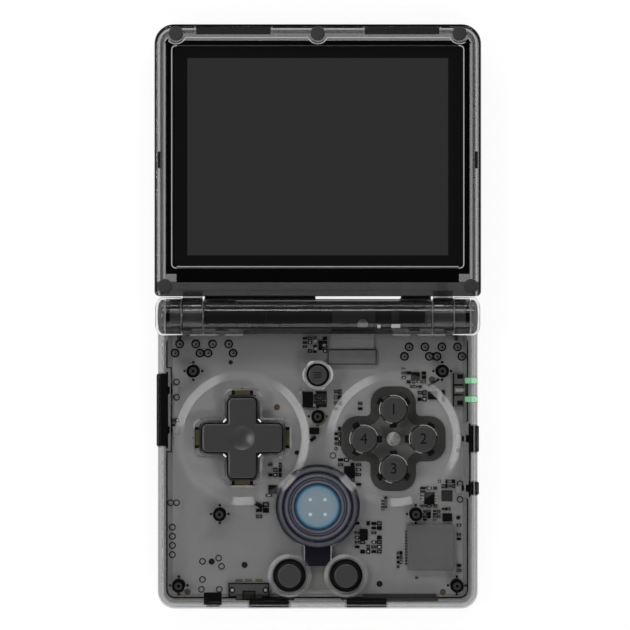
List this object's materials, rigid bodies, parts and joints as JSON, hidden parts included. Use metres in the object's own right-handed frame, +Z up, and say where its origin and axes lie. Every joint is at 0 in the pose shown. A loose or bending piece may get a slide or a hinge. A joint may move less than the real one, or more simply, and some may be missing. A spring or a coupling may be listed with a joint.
{
  "type": "clamshell handheld game console",
  "caption": "Clamshell handheld game console in smoked clear plastic: a screen lid on a barrel hinge over a base with a cross pad, round buttons, side keys and shoulder keys.",
  "frame": {"origin": "on the table under the hinge axis, at the middle of the console lying open flat", "axes": "+X to the right of someone playing, +Y from the base's front edge towards the lid's far edge, +Z up out of the base's controls and the open screen"},
  "size_m": [0.089, 0.1592, 0.0198],
  "materials": {
    "smoke_case": "smoke-tinted clear plastic, glossy",
    "control_grey": "dark grey moulded plastic, satin",
    "silicone": "dark grey silicone",
    "board": "white circuit board with solder and small parts",
    "chip": "black moulded housings",
    "steel": "bright zinc-plated steel",
    "nickel": "nickel-plated sheet steel",
    "screen_glass": "clear glass over black print",
    "screen_panel": "dark unlit screen",
    "black_rubber": "black rubber",
    "battery_wrap": "grey foil pouch",
    "light_green": "pale green light guide",
    "speaker_film": "thin blue-grey film",
    "speaker_body": "dark coated metal",
    "ribbon": "dark flexible circuit"
  },
  "bodies": {
    "base": {"base_top_shell": "smoke_case", "base_bottom_shell": "smoke_case", "hinge_cap_left": "smoke_case", "hinge_cap_right": "smoke_case", "case_screw_1": "steel", "case_screw_2": "steel", "case_screw_3": "steel", "case_screw_4": "steel", "case_screw_5": "steel", "case_screw_6": "steel", "case_screw_7": "steel", "hinge_click_module": "steel", "display_ribbon": "ribbon", "main_board": "board", "radio_module": "nickel", "usb_socket": "nickel", "video_socket": "nickel", "card_socket_left": "nickel", "card_socket_right": "nickel", "headphone_jack": "chip", "battery": "battery_wrap", "aerial_strip": "chip", "speaker_basket": "speaker_body", "speaker_film": "speaker_film", "pad_silicone": "silicone", "face_button_silicone": "silicone", "menu_silicone": "silicone", "lower_silicone": "silicone", "light_guide": "light_green"},
    "lid": {"lid_front_frame": "smoke_case", "lid_back_shell": "smoke_case", "screen_lens": "screen_glass", "screen_panel": "screen_panel", "screen_gasket": "black_rubber", "lid_ribbon": "ribbon", "hinge_shaft": "steel", "hinge_sleeve": "control_grey", "lid_screw_1": "black_rubber", "lid_screw_2": "black_rubber", "lid_screw_3": "black_rubber", "lid_screw_4": "black_rubber", "lid_screw_5": "black_rubber", "buffer_strip_left": "black_rubber", "buffer_strip_right": "black_rubber"},
    "direction_pad_rocker": {"direction_pad_pivot": "steel"},
    "direction_pad": {"direction_pad": "control_grey"},
    "button_right": {"button_right": "control_grey"},
    "button_top": {"button_top": "control_grey"},
    "button_left": {"button_left": "control_grey"},
    "button_bottom": {"button_bottom": "control_grey"},
    "menu_button": {"menu_button": "control_grey"},
    "select_button": {"select_button": "control_grey"},
    "start_button": {"start_button": "control_grey"},
    "volume_rocker": {"volume_rocker": "control_grey"},
    "power_button": {"power_button": "control_grey"},
    "reset_button": {"reset_button": "control_grey"},
    "left_outer_shoulder": {"left_outer_shoulder": "control_grey"},
    "right_outer_shoulder": {"right_outer_shoulder": "control_grey"},
    "left_inner_shoulder": {"left_inner_shoulder": "control_grey"},
    "right_inner_shoulder": {"right_inner_shoulder": "control_grey"}
  },
  "joints": [
    {"name": "lid_hinge", "type": "hinge", "parent": "base", "child": "lid", "pos_m": [0, 0, 0.015], "axis": [1, 0, 0], "range_deg": [0, 180]},
    {"name": "pad_fore_aft", "type": "hinge", "parent": "base", "child": "direction_pad_rocker", "pos_m": [-0.0206, -0.0331, 0.01135], "axis": [1, 0, 0], "range_deg": [-3, 3], "stiffness_Nm_per_rad": 0.14},
    {"name": "pad_sideways", "type": "hinge", "parent": "direction_pad_rocker", "child": "direction_pad", "pos_m": [-0.0206, -0.0331, 0.01135], "axis": [0, 1, 0], "range_deg": [-3, 3], "stiffness_Nm_per_rad": 0.14},
    {"name": "press_right", "type": "slide", "parent": "base", "child": "button_right", "axis": [0, 0, -1], "range_m": [0, 0.0006], "stiffness_N_per_m": 200},
    {"name": "press_top", "type": "slide", "parent": "base", "child": "button_top", "axis": [0, 0, -1], "range_m": [0, 0.0006], "stiffness_N_per_m": 200},
    {"name": "press_left", "type": "slide", "parent": "base", "child": "button_left", "axis": [0, 0, -1], "range_m": [0, 0.0006], "stiffness_N_per_m": 200},
    {"name": "press_bottom", "type": "slide", "parent": "base", "child": "button_bottom", "axis": [0, 0, -1], "range_m": [0, 0.0006], "stiffness_N_per_m": 200},
    {"name": "press_menu", "type": "slide", "parent": "base", "child": "menu_button", "axis": [0, 0, -1], "range_m": [0, 0.0006], "stiffness_N_per_m": 200},
    {"name": "press_select", "type": "slide", "parent": "base", "child": "select_button", "axis": [0, 0, -1], "range_m": [0, 0.0006], "stiffness_N_per_m": 200},
    {"name": "press_start", "type": "slide", "parent": "base", "child": "start_button", "axis": [0, 0, -1], "range_m": [0, 0.0006], "stiffness_N_per_m": 200},
    {"name": "volume_rock", "type": "hinge", "parent": "base", "child": "volume_rocker", "pos_m": [-0.0414, -0.02555, 0.0093], "axis": [0, 0, 1], "range_deg": [-2.5, 2.5], "stiffness_Nm_per_rad": 0.05},
    {"name": "press_power", "type": "slide", "parent": "base", "child": "power_button", "axis": [-1, 0, 0], "range_m": [0, 0.0004], "stiffness_N_per_m": 200},
    {"name": "press_reset", "type": "slide", "parent": "base", "child": "reset_button", "axis": [-1, 0, 0], "range_m": [0, 0.0004], "stiffness_N_per_m": 200},
    {"name": "press_left_outer_shoulder", "type": "slide", "parent": "base", "child": "left_outer_shoulder", "axis": [0, -1, 0], "range_m": [0, 0.0008], "stiffness_N_per_m": 200},
    {"name": "press_right_outer_shoulder", "type": "slide", "parent": "base", "child": "right_outer_shoulder", "axis": [0, -1, 0], "range_m": [0, 0.0008], "stiffness_N_per_m": 200},
    {"name": "press_left_inner_shoulder", "type": "slide", "parent": "base", "child": "left_inner_shoulder", "axis": [0, -1, 0], "range_m": [0, 0.0008], "stiffness_N_per_m": 200},
    {"name": "press_right_inner_shoulder", "type": "slide", "parent": "base", "child": "right_inner_shoulder", "axis": [0, -1, 0], "range_m": [0, 0.0008], "stiffness_N_per_m": 200}
  ]
}
